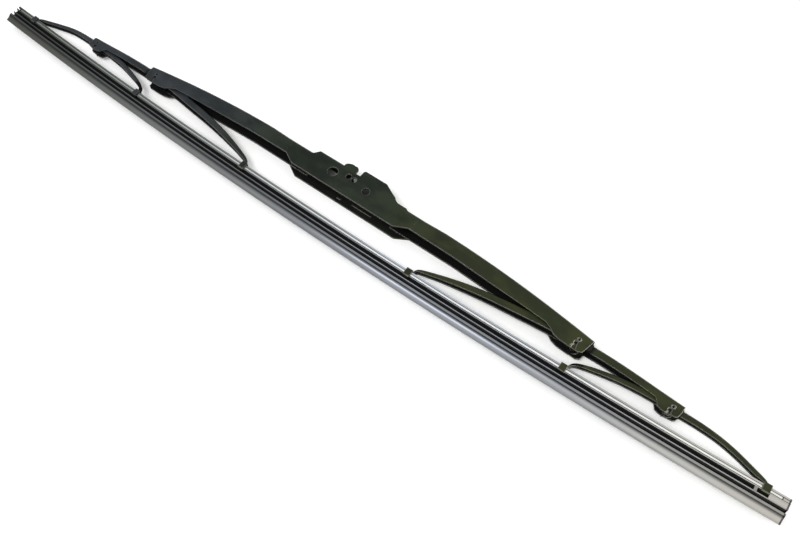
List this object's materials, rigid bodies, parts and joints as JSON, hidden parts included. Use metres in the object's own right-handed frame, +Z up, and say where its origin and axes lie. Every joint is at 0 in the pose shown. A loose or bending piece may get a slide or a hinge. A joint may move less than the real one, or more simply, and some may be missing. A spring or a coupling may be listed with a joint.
{
  "type": "wiper blade",
  "caption": "Lever-type windscreen wiper blade: a bowed rubber lip with steel rails, held by the claws of nested channel levers that rock on pressed pivots, with a bare arm seat.",
  "frame": {"origin": "centre of the large arm pin bore, midway between the two walls of the primary lever", "axes": "+X along the blade towards its right end in the picture, +Y from the rubber lip towards the levers, +Z up through the blade's thickness as it lies on its side"},
  "size_m": [0.55, 0.0486, 0.0134],
  "materials": {
    "lever_paint": "satin black paint with thin bright cut edges",
    "liner_plastic": "matt black nylon",
    "rubber": "graphited black rubber with a grey bloom on the lip",
    "rail_steel": "bare drawn spring steel"
  },
  "bodies": {
    "root": {"primary_lever": "lever_paint", "wiper_rubber": "rubber", "front_rail": "rail_steel", "back_rail": "rail_steel"},
    "left_secondary": {"left_secondary_lever": "lever_paint", "left_main_liner": "liner_plastic"},
    "right_secondary": {"right_secondary_lever": "lever_paint", "right_main_liner": "liner_plastic"},
    "left_yoke": {"left_outer_yoke": "lever_paint", "left_outer_liner": "liner_plastic"},
    "right_yoke": {"right_outer_yoke": "lever_paint", "right_outer_liner": "liner_plastic"}
  },
  "joints": [
    {"name": "left_main_pivot", "type": "hinge", "parent": "root", "child": "left_secondary", "pos_m": [-0.1398, -0.0086, 0], "axis": [0, 0, 1], "range_deg": [-4, 6], "stiffness_Nm_per_rad": 0.2, "deforming": ["wiper_rubber", "front_rail", "back_rail"]},
    {"name": "right_main_pivot", "type": "hinge", "parent": "root", "child": "right_secondary", "pos_m": [0.1662, -0.0086, 0], "axis": [0, 0, 1], "range_deg": [-6, 4], "stiffness_Nm_per_rad": 0.2, "deforming": ["wiper_rubber", "front_rail", "back_rail"]},
    {"name": "left_outer_pivot", "type": "hinge", "parent": "left_secondary", "child": "left_yoke", "pos_m": [-0.1938, -0.0115, 0], "axis": [0, 0, 1], "range_deg": [-5, 7], "stiffness_Nm_per_rad": 0.2, "deforming": ["wiper_rubber", "front_rail", "back_rail"]},
    {"name": "right_outer_pivot", "type": "hinge", "parent": "right_secondary", "child": "right_yoke", "pos_m": [0.2202, -0.0115, 0], "axis": [0, 0, 1], "range_deg": [-7, 5], "stiffness_Nm_per_rad": 0.2, "deforming": ["wiper_rubber", "front_rail", "back_rail"]}
  ]
}
